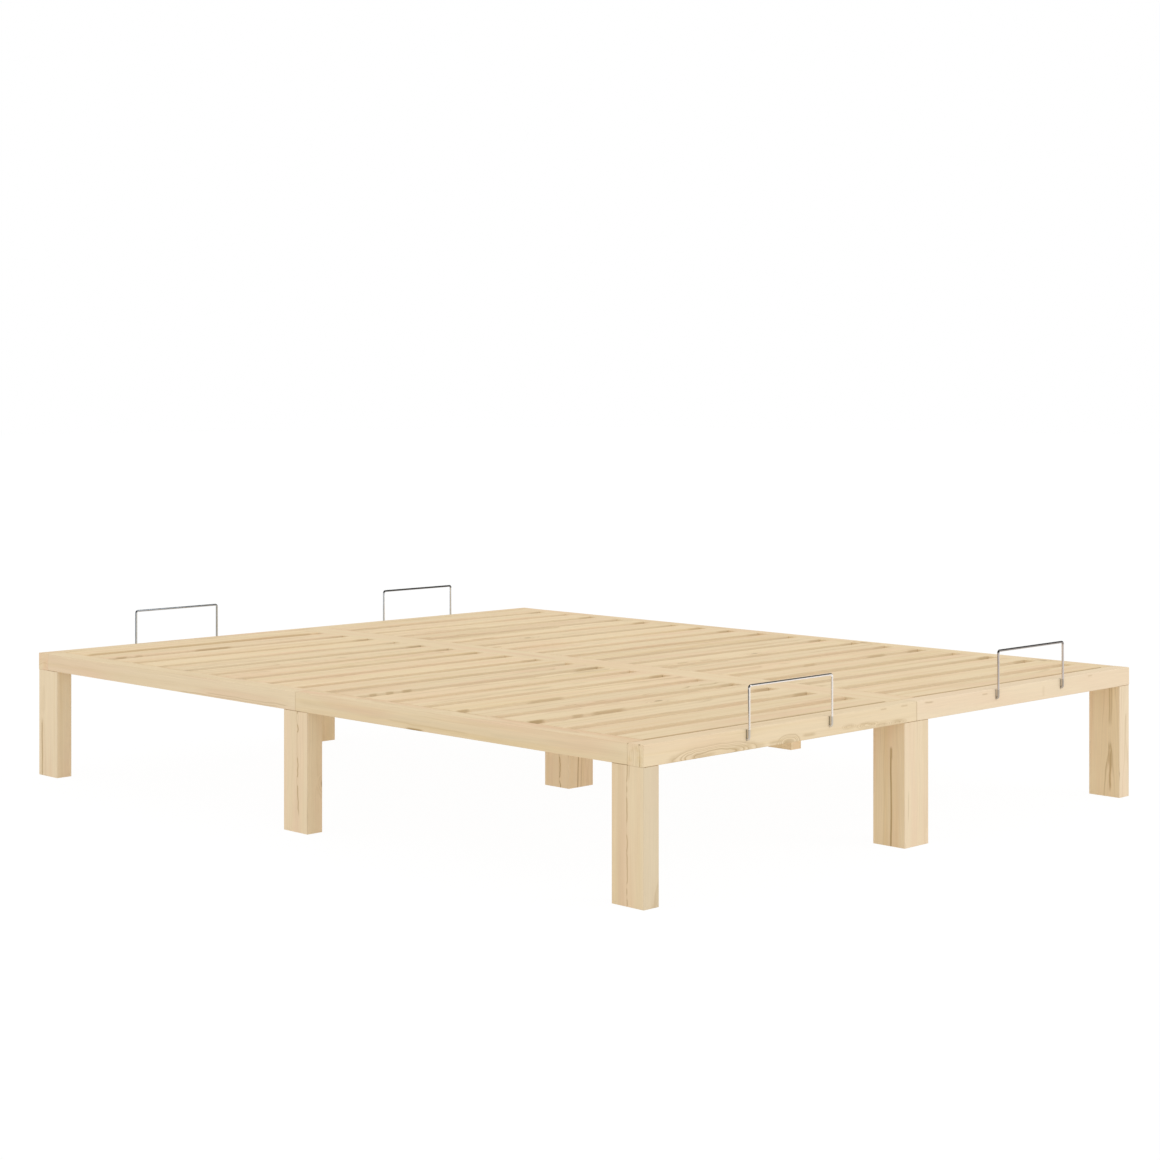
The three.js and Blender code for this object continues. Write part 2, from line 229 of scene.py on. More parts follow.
def addKnots(tree, board, grain):
    # a few cells of a stretched Voronoi hold a knot
    look = pineLook
    spread = addNode(tree, "ShaderNodeVectorMath", {"operation": "MULTIPLY_ADD"}, {
        0: grain["point"], 1: (1 / look["knotLength"], 1 / look["knotWidth"], 0),
        2: (*[board["seed"] * step for step in look["knotSteps"]], 0),
    }).outputs[0]
    cells = addNode(tree, "ShaderNodeTexVoronoi", {"voronoi_dimensions": "2D"}, {
        "Vector": spread, "Scale": 1.0, "Randomness": look["knotScatter"],
    })
    toKnot = addNode(tree, "ShaderNodeVectorMath", {"operation": "SUBTRACT"}, {
        0: spread, 1: cells.outputs["Position"],
    })
    oval = addNode(tree, "ShaderNodeVectorMath", {"operation": "MULTIPLY"}, {
        0: toKnot.outputs[0], 1: (look["knotLength"] * look["knotOval"], look["knotWidth"], 0),
    })
    nearKnot = addNode(tree, "ShaderNodeVectorMath", {"operation": "LENGTH"}, {0: oval.outputs[0]})
    chance = addNode(tree, "ShaderNodeSeparateColor", {}, {0: cells.outputs["Color"]})
    missing = addNode(tree, "ShaderNodeMath", {"operation": "GREATER_THAN"}, {
        0: chance.outputs["Red"], 1: board["knots"],
    })
    knotDistance = addNode(tree, "ShaderNodeMath", {"operation": "MULTIPLY_ADD"}, {
        0: missing.outputs[0], 1: look["noKnot"], 2: nearKnot.outputs["Value"],
    }).outputs[0]

    # and those that the board is known to have
    swirlDistance = knotDistance
    swirlFrom = look["swirl"][0]
    for knotAlong, knotSide, knotUp, stretch, reach, core in board["knotsAt"]:
        apart = addNode(tree, "ShaderNodeVectorMath", {"operation": "SUBTRACT"}, {
            0: grain["point"], 1: (knotAlong, knotSide or 0, knotUp or 0),
        })
        squeezed = addNode(tree, "ShaderNodeVectorMath", {"operation": "MULTIPLY"}, {
            0: apart.outputs[0], 1: (1 / stretch, 0 if knotSide is None else 1, 0 if knotUp is None else 1),
        })
        distance = addNode(tree, "ShaderNodeVectorMath", {"operation": "LENGTH"}, {0: squeezed.outputs[0]})
        dented = addNode(tree, "ShaderNodeMath", {"operation": "MULTIPLY_ADD"}, {
            0: grain["zigzag"], 1: look["swirlDent"] * reach, 2: distance.outputs["Value"],
        })
        reached = addNode(tree, "ShaderNodeMath", {"operation": "MULTIPLY_ADD"}, {
            0: dented.outputs[0], 1: swirlFrom / reach, 2: -look["swirlDent"] / 2 * swirlFrom,
        })
        swirlDistance = addNode(tree, "ShaderNodeMath", {"operation": "MINIMUM"}, {
            0: swirlDistance, 1: reached.outputs[0],
        }).outputs[0]
        if core > 0:
            grown = addNode(tree, "ShaderNodeMath", {"operation": "MULTIPLY"}, {
                0: distance.outputs["Value"], 1: look["knotSize"] / core,
            })
            knotDistance = addNode(tree, "ShaderNodeMath", {"operation": "MINIMUM"}, {
                0: knotDistance, 1: grown.outputs[0],
            }).outputs[0]
    grain["knotDistance"] = knotDistance
    grain["swirlDistance"] = swirlDistance


def addRings(tree, board, grain):
    # mm of growth: the distance from the pith, which the knots push outwards
    look = pineLook
    fromPith = addNode(tree, "ShaderNodeVectorMath", {"operation": "SUBTRACT"}, {
        0: grain["place"], 1: (0, *board["pith"]),
    })
    across = addNode(tree, "ShaderNodeVectorMath", {"operation": "MULTIPLY"}, {
        0: fromPith.outputs[0], 1: (0, 1, 1),
    }).outputs[0]
    radius = addNode(tree, "ShaderNodeVectorMath", {"operation": "LENGTH"}, {0: across}).outputs["Value"]
    tapered = addNode(tree, "ShaderNodeMath", {"operation": "MULTIPLY_ADD"}, {
        0: grain["along"], 1: board["taper"], 2: radius,
    })
    rippled = addNode(tree, "ShaderNodeMath", {"operation": "MULTIPLY_ADD"}, {
        0: grain["ripple"], 1: 2 * board["ripple"], 2: tapered.outputs[0],
    })
    begins, full = look["swirl"]
    swell = addNode(tree, "ShaderNodeMapRange", {"interpolation_type": "SMOOTHERSTEP"}, {
        "Value": grain["swirlDistance"], "From Min": begins, "From Max": full,
        "To Min": 0.0, "To Max": board["swell"],
    })
    growth = addNode(tree, "ShaderNodeMath", {"operation": "ADD"}, {
        0: rippled.outputs[0], 1: swell.outputs["Result"],
    }).outputs[0]

    # good and bad years: the spacing and the strength of the lines vary
    for key, (span, step) in look["years"].items():
        year = addNode(tree, "ShaderNodeMath", {"operation": "MULTIPLY_ADD"}, {
            0: growth, 1: 1 / span, 2: board["seed"] * step,
        })
        grain[key] = addNode(tree, "ShaderNodeTexNoise", {"noise_dimensions": "1D"}, {
            "W": year.outputs[0], "Scale": 1.0, "Detail": 1.0,
        }).outputs["Fac"]
    uneven = addNode(tree, "ShaderNodeMath", {"operation": "MULTIPLY_ADD"}, {
        0: grain["spacing"], 1: look["badYears"], 2: growth,
    })
    years = addNode(tree, "ShaderNodeMath", {"operation": "DIVIDE"}, {
        0: uneven.outputs[0], 1: board["spacing"],
    })
    season = addNode(tree, "ShaderNodeMath", {"operation": "FRACT"}, {0: years.outputs[0]})
    ring = addNode(tree, "ShaderNodeValToRGB", {}, {0: season.outputs[0]})
    ramp = ring.color_ramp
    ramp.interpolation = "EASE"
    ramp.elements.remove(ramp.elements[1])
    for index, (position, value) in enumerate(look["ring"]):
        element = ramp.elements[0] if index == 0 else ramp.elements.new(position)
        element.position = position
        element.color = (value, value, value, 1)
    grain["radius"] = radius
    grain["outward"] = addNode(tree, "ShaderNodeVectorMath", {"operation": "NORMALIZE"}, {
        0: across,
    }).outputs[0]
    grain["ring"] = ring.outputs["Color"]


def yearLines(tree, board, grain):
    # a line is wide and plain where the face lies flat on the ring, and fine elsewhere
    look = pineLook
    slope = addNode(tree, "ShaderNodeVectorMath", {"operation": "DOT_PRODUCT"}, {
        0: grain["facing"], 1: grain["outward"],
    })
    flatness = addNode(tree, "ShaderNodeMath", {"operation": "ABSOLUTE"}, {0: slope.outputs["Value"]})
    grain["plainness"] = addNode(tree, "ShaderNodeMath", {"operation": "MAXIMUM"}, {
        0: flatness.outputs[0], 1: grain["endness"],
    }).outputs[0]
    weights = {**look["lineWeights"], "endness": (*look["cutEnd"], board["lines"], 1.0)}
    line = 1.0
    for key, (fromLow, fromHigh, toLow, toHigh) in weights.items():
        weight = addNode(tree, "ShaderNodeMapRange", {"interpolation_type": "SMOOTHSTEP"}, {
            "Value": grain[key], "From Min": fromLow, "From Max": fromHigh, "To Min": toLow, "To Max": toHigh,
        })
        line = addNode(tree, "ShaderNodeMath", {"operation": "MULTIPLY"}, {
            0: line, 1: weight.outputs["Result"],
        }).outputs[0]
    begins, full, most = look["swirlLines"]
    swirled = addNode(tree, "ShaderNodeMapRange", {"interpolation_type": "SMOOTHSTEP"}, {
        "Value": grain["swirlDistance"], "From Min": begins, "From Max": full, "To Min": 0.0, "To Max": most,
    })
    line = addNode(tree, "ShaderNodeMath", {"operation": "MAXIMUM"}, {
        0: line, 1: swirled.outputs["Result"],
    }).outputs[0]
    for weight in (grain["ring"], board["contrast"]):
        line = addNode(tree, "ShaderNodeMath", {"operation": "MULTIPLY"}, {0: line, 1: weight}).outputs[0]
    return line


def addMarks(tree, board, grain, line):
    # dark lines where one year stands out from the rest, painted shade in the seams and along the slats'
    # edges, and strips of painted shadow that the wires cast on the rails
    look = pineLook
    darkest = {"marks": line, "wireShadows": 0.0}
    for kind in ("marks", "wireShadows"):
        for way, position, lowest, highest, width, strength, zigzag in board[kind]:
            waving = grain[way]
            waves = {"ripple": look["markRipple"], "zigzag": zigzag} if zigzag else {}
            for key, height in waves.items():
                position += height / 2
                waving = addNode(tree, "ShaderNodeMath", {"operation": "MULTIPLY_ADD"}, {
                    0: grain[key], 1: height, 2: waving,
                }).outputs[0]
            offset = addNode(tree, "ShaderNodeMath", {"operation": "SUBTRACT"}, {0: waving, 1: position})
            apart = addNode(tree, "ShaderNodeMath", {"operation": "ABSOLUTE"}, {0: offset.outputs[0]})
            depth = addNode(tree, "ShaderNodeMapRange", {"interpolation_type": "SMOOTHSTEP"}, {
                "Value": apart.outputs[0], "From Min": width, "From Max": 0.0,
                "To Min": 0.0, "To Max": strength,
            }).outputs["Result"]
            windows = []
            if zigzag > look["dashesFrom"]:
                windows.append((grain["zigzag"], *look["dashes"]))
            if way == "along":
                measured, fade = grain["up"], look["crossEnd"]
            else:
                measured = grain["along"]
                fade = min(look["markEnd"], look["markEndShare"] * (highest - lowest))
            windows.append((measured, lowest, lowest + fade, 0.0))
            windows.append((measured, highest, highest - fade, 0.0))
            for value, begins, full, least in windows:
                window = addNode(tree, "ShaderNodeMapRange", {"interpolation_type": "SMOOTHSTEP"}, {
                    "Value": value, "From Min": begins, "From Max": full, "To Min": least, "To Max": 1.0,
                })
                depth = addNode(tree, "ShaderNodeMath", {"operation": "MULTIPLY"}, {
                    0: depth, 1: window.outputs["Result"],
                }).outputs[0]
            darkest[kind] = addNode(tree, "ShaderNodeMath", {"operation": "MAXIMUM"}, {
                0: darkest[kind], 1: depth,
            }).outputs[0]
    return darkest["marks"], darkest["wireShadows"]


def boardColour(tree, board, grain, line, wireShadow):
    # how much of each colour there is, from the pale ground up to the knots
    look = pineLook
    amounts = {}
    begins, full = look["heartReach"]
    amounts["heart"] = addNode(tree, "ShaderNodeMapRange", {"interpolation_type": "SMOOTHSTEP"}, {
        "Value": grain["radius"], "From Min": begins, "From Max": full,
        "To Min": 0.0, "To Max": board["heart"],
    }).outputs["Result"]
    for paint, (begins, full) in look["patches"].items():
        amounts[paint] = addNode(tree, "ShaderNodeMapRange", {}, {
            "Value": grain[paint], "From Min": begins, "From Max": full,
            "To Min": 0.0, "To Max": board[paint],
        }).outputs["Result"]
    for paint in ("sapwood", "sawn"):
        amounts[paint] = addNode(tree, "ShaderNodeVectorMath", {"operation": "DOT_PRODUCT"}, {
            0: grain["turnedAway"], 1: (0, *board[paint]),
        }).outputs["Value"]
    amounts["latewood"] = line
    begins, full = (share * look["knotSize"] for share in look["knotCore"])
    amounts["knot"] = addNode(tree, "ShaderNodeMapRange", {"interpolation_type": "SMOOTHSTEP"}, {
        "Value": grain["knotDistance"], "From Min": begins, "From Max": full,
        "To Min": 0.0, "To Max": look["knotDark"],
    }).outputs["Result"]
    # the painted shadows of the wires on the end rails
    amounts["wireShadow"] = wireShadow
    colour = srgb(look["earlywood"])
    for paint, amount in amounts.items():
        colour = addNode(tree, "ShaderNodeMix", {"data_type": "RGBA"}, {
            0: amount, 6: colour, 7: srgb(look[paint]),
        }).outputs[2]

    # fibres, and the cut ends, which lie square to the length
    tone = board["tone"]
    for value, (begins, full), (dark, pale) in (
        (grain["fibre"], noiseSpan, look["fibreTone"]),
        (grain["endness"], look["cutEnd"], (1.0, look["endGrain"])),
    ):
        change = addNode(tree, "ShaderNodeMapRange", {}, {
            "Value": value, "From Min": begins, "From Max": full, "To Min": dark, "To Max": pale,
        })
        tone = addNode(tree, "ShaderNodeMath", {"operation": "MULTIPLY"}, {
            0: tone, 1: change.outputs["Result"],
        }).outputs[0]
    return addNode(tree, "ShaderNodeVectorMath", {"operation": "SCALE"}, {
        0: colour, "Scale": tone,
    }).outputs[0]


def pineMaterial(name, node, board):
    # Planed and oiled pine: years of growth are shells round the pith, so a flat face shows
    # arches and loops, a quartered one straight lines and a cut end the rings themselves
    look = pineLook
    material, tree, output = newMaterial(name)
    grain = layOutBoard(tree, node, board)
    addLayers(tree, board, grain)
    addKnots(tree, board, grain)
    addRings(tree, board, grain)
    line = yearLines(tree, board, grain)
    line, wireShadow = addMarks(tree, board, grain, line)
    colour = boardColour(tree, board, grain, line, wireShadow)
    height = addNode(tree, "ShaderNodeMath", {"operation": "MULTIPLY_ADD"}, {
        0: line, 1: -look["lineDepth"], 2: grain["fibre"],
    })
    bump = addNode(tree, "ShaderNodeBump", {}, {
        "Height": height.outputs[0], "Strength": look["bumpStrength"], "Distance": look["bump"] * mm,
    })
    roughness = addNode(tree, "ShaderNodeMapRange", {}, {
        "Value": grain["fibre"], "From Min": noiseSpan[0], "From Max": noiseSpan[1],
        "To Min": look["roughness"] + look["roughnessSwing"],
        "To Max": look["roughness"] - look["roughnessSwing"],
    })
    shader = addNode(tree, "ShaderNodeBsdfPrincipled", {}, {
        "Base Color": colour,
        "Roughness": roughness.outputs["Result"],
        "Normal": bump.outputs["Normal"],
        "IOR": look["ior"],
        "Specular IOR Level": look["specular"],
    })
    tree.links.new(shader.outputs[0], output.inputs["Surface"])
    return material


timbers = {
    "random": 7,  # one seed for every board's own tree
    "seeds": (0, 40),
    "pithDepth": (34, 70),  # mm below a flat-sawn face
    "pithSide": (-34, 34),  # mm off the board's middle
    "tone": (0.975, 1.025),
    "contrast": (0.35, 0.7),
    "honey": (0.3, 0.9),
    "heart": 0.75,
    "blush": 0.7,
    "knots": 0.05,
    "slatSawn": (0.22, 0.42),
    "endSeamShade": (2.6, 0.36),  # painted shade where two end rails meet: mm wide and how dark
    "sideSeamShade": (2.2, 0.28),  # painted shade the same way at both ends of a side rail
    "backSeamShade": 0.1,  # how dark the painted shade is by the back end rail
    "past": 999,  # mm, past the end of every board
    "slatEdge": 36,  # mm from a slat's middle, just off its edge
    "slatEndShade": (300, 400, 5, 0.45),  # painted shade at the end of each gap, by the tongue: from, to, width, and how dark at most, which varies from slat to slat
    "outerSlatShade": {"_01": (-35, 0.62), "_18": (35, 0.35)},  # painted shade along the outer slats' edges by the end rails: mm to the side, and how dark that edge is
    # painted shadow of each wire upright on its end rail's outer face
    "wireShadowStrip": {
        "inset": 1,  # mm in from the wire's edge
        "top": 19.5,  # mm above the rail's middle
        "width": 2.2,  # mm
        "strength": 0.9,
    },
}

# What single boards are cut from. pith is where the middle of the tree lies, in mm to the side
# and up from the piece's middle.
# contrast: how dark the year lines are. lines: how much of that is left away from the cut ends.
# heart, honey, blush: how much there is of each colour. tone: how bright the whole board is.
# sawn, sapwood: how far the faces to the side and those above and below turn to that colour.
# spacing, taper, ripple, swell: as in the look of the pine. knots: how likely each one is.
# knotsAt: along, side, up, how much longer than wide, how far the rings swirl round it, dark core.
# A knot with None for a place goes right through the board that way.
# marks, dark lines: the way they are measured, where, from, to, width, strength, zigzag (0: straight).
# A mark that is measured along the board lies across it, and from and to are then heights.
chosenBoards = {
    "leg_front_left": {
        "pith": (14, 62), "contrast": 0.28, "sawn": (0, 0.55),
        "marks": [
            ("up", 1, -150, 150, 2.4, 0.6, 6), ("up", -4, 85, 150, 2.0, 0.45, 2),
            ("up", 19, -150, 150, 17, 0.14, 2),
        ],
    },
    "leg_centre_left": {
        "pith": (14, -2), "contrast": 0.35, "honey": 0.2, "heart": 0.4,
        "sapwood": (0.22, 0), "sawn": (0, 0.3),
        "marks": [("up", -7, -105, 150, 3.2, 0.72, 14)],
        "knotsAt": [(-33, 21, -36, 1.8, 20, 5)],
    },
    "leg_front_middle": {
        "pith": (30, -3), "contrast": 0.35, "heart": 0.3, "sapwood": (0, 0.32),
        "marks": [
            ("up", -6, -150, 70, 4.0, 0.9, 1), ("up", -6, 38, 71, 5.0, 0.8, 0),
            ("side", -27, -90, -10, 2.0, 0.4, 3),
        ],
    },
    "leg_front_right": {
        "pith": (8, -14), "contrast": 0.7, "heart": 0.15, "honey": 0.15,
        "taper": 0.03, "sapwood": (0, 0.45),
        "marks": [
            ("up", -13, 20, 150, 2.4, 0.6, 2), ("up", -19, 20, 150, 2.4, 0.5, 2),
            ("up", -16, 20, 150, 5, 0.3, 2), ("up", -12, -70, -2, 2.2, 0.7, 3),
            ("up", -19, -80, -2, 2.2, 0.7, 3), ("up", -16, -128, -15, 4.5, 0.75, 3),
        ],
    },
    "leg_back_left": {
        "pith": (40, 20), "contrast": 0.14, "sapwood": (0.2, 0), "sawn": (0, 0.32),
        "marks": [("up", 26, -150, 10, 5, 0.7, 2)],
    },
    "leg_centre_middle": {
        "pith": (20, -10), "contrast": 0.4, "heart": 0.15, "tone": 1.03, "sapwood": (0.35, 0.35),
        "marks": [
            ("up", -10, -150, 150, 3.0, 0.9, 14), ("side", -10, -150, 150, 2.6, 0.8, 3),
            ("side", 1, -150, 20, 2.2, 0.5, 5),
        ],
    },
    "leg_back_middle": {"heart": 0.2, "honey": 0.3, "sawn": (0, 0.2)},
    "end_rail_front_left": {
        "pith": (110, -6), "contrast": 0.8, "spacing": 5.0, "knots": 0, "taper": -0.012, "ripple": 0.8,
        "swell": 18.0, "lines": 0.15, "sapwood": (0.14, 0.1),
        "knotsAt": [
            (-400, -9, 20, 1, 4, 1.8), (-400, 20, 20, 1, 4, 2), (-2, None, -18, 2.5, 20, 0),
            (-208, None, -16, 7.5, 22, 0), (182, None, -8, 4, 6, 0), (240, None, -11, 5, 8, 0),
            (285, None, -15, 5, 6, 0), (338, None, -15, 5, 7, 0),
        ],
        "marks": [
            ("up", -11, 34, 84, 6, 0.36, 1), ("up", -8, 164, 198, 2.5, 0.3, 4),
            ("up", -8, 212, 250, 2.5, 0.45, 4), ("up", -11, 236, 268, 2.5, 0.4, 4),
            ("up", -14, 262, 306, 2.5, 0.4, 4), ("up", -13, 318, 358, 2.5, 0.4, 4),
            ("up", -15, -285, -200, 6, 0.35, 3), ("up", -10, -165, -100, 5, 0.3, 2),
            ("up", -14, -64, -12, 5, 0.32, 2), ("up", 15, 278, 304, 3, 0.35, 0),
            ("up", 15, 344, 374, 3, 0.35, 0),
        ],
    },
    "end_rail_front_right": {
        "pith": (60, 10), "contrast": 0.3, "heart": 0.1, "honey": 0.1, "knots": 0, "ripple": 1.5,
        "sapwood": (0.4, 0.3), "lines": 0.5,
        "marks": [
            ("along", 55, -14, 10, 8, 0.14, 3), ("up", 15, -378, -340, 3, 0.45, 4),
            ("up", 11, -176, -150, 3, 0.4, 3), ("up", 15, 226, 250, 3, 0.3, 0),
        ],
    },
    "end_rail_back_left": {"tone": 0.985, "blush": 1.5},
    "side_rail_left_front": {
        "blush": 1.5,
        "marks": [
            ("up", -19, -138, -74, 5, 1.0, 0), ("up", -2, -480, 480, 10, 0.12, 3),
            ("up", -9, -200, 60, 3, 0.2, 3),
        ],
    },
    "side_rail_left_back": {
        "blush": 1.2, "sapwood": (0.16, 0.08),
        "marks": [
            ("up", -12, 160, 470, 2.5, 0.3, 3), ("up", -17, 60, 440, 2.5, 0.3, 3),
            ("up", -3, -480, 480, 14, 0.07, 3),
        ],
    },
    "centre_beam_front": {"contrast": 0.2},
    "centre_beam_back": {"contrast": 0.15, "honey": 0.3},
    # the slats' marks at -36 lie just off the slat's edge: painted shade along the gaps
    "slat_left_04": {
        "marks": [
            ("side", -36, -358, -298, 8, 0.65, 0), ("side", -36, -185, -75, 7, 0.42, 0),
            ("side", -36, -235, -195, 5, 0.4, 0), ("side", -36, 290, 400, 7, 0.35, 0),
        ],
    },
    "slat_left_06": {
        "marks": [("side", -36, -165, -45, 5, 0.35, 0), ("side", -36, -352, -308, 7, 0.5, 0)],
    },
    "slat_left_09": {
        "marks": [
            ("side", -36, 275, 400, 6, 0.4, 0), ("side", -36, -230, -195, 6, 0.5, 0),
            ("side", -36, -274, -245, 6, 0.45, 0), ("side", -36, -318, -290, 6, 0.45, 0),
        ],
    },
    "slat_left_17": {
        "marks": [
            ("side", -36, -110, 15, 8, 0.5, 0), ("side", -36, -332, -290, 7, 0.45, 0),
            ("side", -36, -276, -248, 7, 0.3, 0),
        ],
    },
    "slat_left_18": {
        "honey": 1.0, "heart": 1.0, "sawn": (0, 0), "marks": [("side", -36, -346, 346, 9, 0.42, 0)],
    },
    "slat_right_06": {
        "marks": [("side", -36, 145, 235, 5, 0.4, 0), ("side", -36, -90, -30, 5, 0.3, 0)],
    },
}


def seamsAndEdges(name, board):
    # painted shade that all boards of a kind have: in the seams, at the ends of the gaps by the slats'
    # tongues, and along the outer slats' edges
    middle = middleOf(name)
    past = timbers["past"]
    marks = []
    if name.startswith("end_rail"):
        width, strength = timbers["endSeamShade"]
        marks.append(("along", -middle.y, -past, past, width, strength, 0))
    if name.startswith("side_rail"):
        width, strength = timbers["sideSeamShade"]
        outerStrength = strength if middle.x > 0 else timbers["backSeamShade"]
        outerSeam = math.copysign(boxOf("end_rail_front_left")[0].x / mm, middle.x)
        marks.append(("along", -middle.x, -past, past, width, strength, 0))
        marks.append(("along", outerSeam - middle.x, -past, past, width, outerStrength, 0))
    if name.startswith("slat"):
        start, end, width, most = timbers["slatEndShade"]
        marks.append(("side", -timbers["slatEdge"], start, end, width, most * (board["seed"] % 1), 0))
        for ending, (side, strength) in timbers["outerSlatShade"].items():
            if name.endswith(ending):
                marks.append(("side", side, -past, past, width, strength, 0))
    return marks


def wireShadowStrips(name):
    # each upright of a stop leans on its end rail's outer face, and its shadow there is painted as a dark
    # strip
    if not name.startswith("end_rail"):
        return []
    wireShadowStrip = timbers["wireShadowStrip"]
    middle = middleOf(name)
    low, high = (corner / mm for corner in boxOf(name.replace("end_rail", "mattress_stop")))
    return [(
        "along", edge + wireShadowStrip["inset"] - middle.y, low.z - middle.z, wireShadowStrip["top"],
        wireShadowStrip["width"], wireShadowStrip["strength"], 0,
    ) for edge in (low.y, high.y - stopShape["diameter"])]


def dressTimbers():
    draw = random.Random(timbers["random"])
    count = 0
    for name in sorted(frame["nodes"]):
        if name.startswith("mattress_stop"):
            continue
        board = {
            "axis": "z" if name.startswith("leg") else "x" if name.startswith(("side", "centre")) else "y",
            "pith": (draw.uniform(*timbers["pithSide"]), -draw.uniform(*timbers["pithDepth"])),
            "seed": draw.uniform(*timbers["seeds"]),
            "tone": draw.uniform(*timbers["tone"]),
            "contrast": draw.uniform(*timbers["contrast"]),
            "honey": draw.uniform(*timbers["honey"]),
            "heart": timbers["heart"],
            "blush": timbers["blush"],
            "sawn": (draw.uniform(*timbers["slatSawn"]) if name.startswith(("slat", "cross")) else 0, 0),
            "sapwood": (0, 0),
            "spacing": pineLook["ringSpacing"],
            "ripple": pineLook["ripple"],
            "swell": pineLook["swell"],
            "taper": pineLook["taper"],
            "lines": 1.0,
            "knots": 0 if name.startswith("leg") else timbers["knots"],
            "knotsAt": [],
            "marks": [],
            "wireShadows": wireShadowStrips(name),
        }
        board.update(chosenBoards.get(name, {}))
        board["marks"] = board["marks"] + seamsAndEdges(name, board)
        material = pineMaterial("planedPine_" + name, name, board)
        for slot in frame["nodes"][name].material_slots:
            slot.material = material
        count += 1
    print("timbers dressed:", count)


# bent steel wire

wireLook = {
    "roughness": 0.14,
    "roughnessSwing": (-0.06, 0.1),
    "scratchLength": 14,  # mm, left by the drawing die
    "scratchWidth": 0.35,  # mm
    "scratchDetail": 3.0,
    "bump": 0.05,  # mm
    "bumpStrength": 0.15,
    "darkBar": "#4A4A48",  # a darker grey given to the bar
    "darkBarFrom": (9, 6),  # mm below the top of the bar, where it begins and is full
    "paintedEndShade": "#978B70",  # painted shade on the wire's lower ends in front of the rail: darker, matt and less metallic
    "paintedEndShadeFrom": (291, 290),  # mm above the floor, where it begins and is full
    "paintedEndShadeCover": 0.5,
    "paintedEndShadeRoughness": 0.4,  # added where it covers the metal
}

# how dark the bar is made, and the colour of the plating, for each wire
wireBatches = {
    "front_left": (0.0, "#F6F0EA"),
    "front_right": (0.6, "#CEC5C0"),
    "back_left": (0.25, "#CDD6E2"),
    "back_right": (0.88, "#E6ECF6"),
}


def wireMaterial(name, node):
    # Drawn steel wire, zinc plated bright: a clean mirror-like grey with fine die lines along it,
    # its lower ends darkened and made matt as painted shade, where they stand in front of the rail
    look = wireLook
    darkBar, plating = wireBatches[name]
    material, tree, output = newMaterial("drawnSteelWire_" + name)
    coords = addNode(tree, "ShaderNodeTexCoord")
    scratchScale = [1 / (look[key] * mm) for key in ("scratchWidth", "scratchLength", "scratchLength")]
    stretched = addNode(tree, "ShaderNodeVectorMath", {"operation": "MULTIPLY"}, {
        0: coords.outputs["Object"], 1: scratchScale,
    })
    scratches = addNode(tree, "ShaderNodeTexNoise", {}, {
        "Vector": stretched.outputs[0], "Scale": 1.0, "Detail": look["scratchDetail"],
    }).outputs["Fac"]
    height = addNode(tree, "ShaderNodeSeparateXYZ", {}, {0: coords.outputs["Object"]}).outputs["Z"]
    top = boxOf(node)[1].z
    films = []
    for begins, full, amount in (
        (*[top - below * mm for below in look["darkBarFrom"]], darkBar),
        (*[above * mm for above in look["paintedEndShadeFrom"]], look["paintedEndShadeCover"]),
    ):
        films.append(addNode(tree, "ShaderNodeMapRange", {}, {
            "Value": height, "From Min": begins, "From Max": full, "To Max": amount,
        }).outputs["Result"])
    barDarkening, paintedEndShade = films
    metal = addNode(tree, "ShaderNodeMix", {"data_type": "RGBA"}, {
        0: barDarkening, 6: srgb(plating), 7: srgb(look["darkBar"]),
    })
    # painted shade darkens the lower ends of the wire
    colour = addNode(tree, "ShaderNodeMix", {"data_type": "RGBA"}, {
        0: paintedEndShade, 6: metal.outputs[2], 7: srgb(look["paintedEndShade"]),
    })
    smoother, rougher = look["roughnessSwing"]
    scratched = addNode(tree, "ShaderNodeMapRange", {}, {
        "Value": scratches, "From Min": noiseSpan[0], "From Max": noiseSpan[1],
        "To Min": look["roughness"] + smoother, "To Max": look["roughness"] + rougher,
    })
    roughness = addNode(tree, "ShaderNodeMath", {"operation": "MULTIPLY_ADD"}, {
        0: paintedEndShade, 1: look["paintedEndShadeRoughness"], 2: scratched.outputs["Result"],
    })
    metallic = addNode(tree, "ShaderNodeMath", {"operation": "SUBTRACT"}, {0: 1.0, 1: paintedEndShade})
    bump = addNode(tree, "ShaderNodeBump", {}, {
        "Height": scratches, "Strength": look["bumpStrength"], "Distance": look["bump"] * mm,
    })
    shader = addNode(tree, "ShaderNodeBsdfPrincipled", {}, {
        "Base Color": colour.outputs[2],
        "Metallic": metallic.outputs[0],
        "Roughness": roughness.outputs[0],
        "Normal": bump.outputs["Normal"],
    })
    tree.links.new(shader.outputs[0], output.inputs["Surface"])
    return material


stopShape = {
    "diameter": 5,  # mm
    "bendRadius": 5,  # mm, at the middle of the wire
    "sides": 24,
    "bendSteps": 8,
    "endRound": 0.8,  # mm
    "endSteps": 3,
    "weld": 0.01,  # mm
}


def runStraight(bm, ring, reach):
    grown = bmesh.ops.extrude_edge_only(bm, edges=ring)["geom"]
    verts = [g for g in grown if isinstance(g, bmesh.types.BMVert)]
    bmesh.ops.translate(bm, verts=verts, vec=reach)
    return [g for g in grown if isinstance(g, bmesh.types.BMEdge)]


def runBend(bm, ring, centre, axis):
    turned = bmesh.ops.spin(
        bm, geom=ring, cent=centre, axis=axis, angle=math.pi / 2,
        steps=stopShape["bendSteps"], use_duplicate=False,
    )["geom_last"]
    return [g for g in turned if isinstance(g, bmesh.types.BMEdge)]


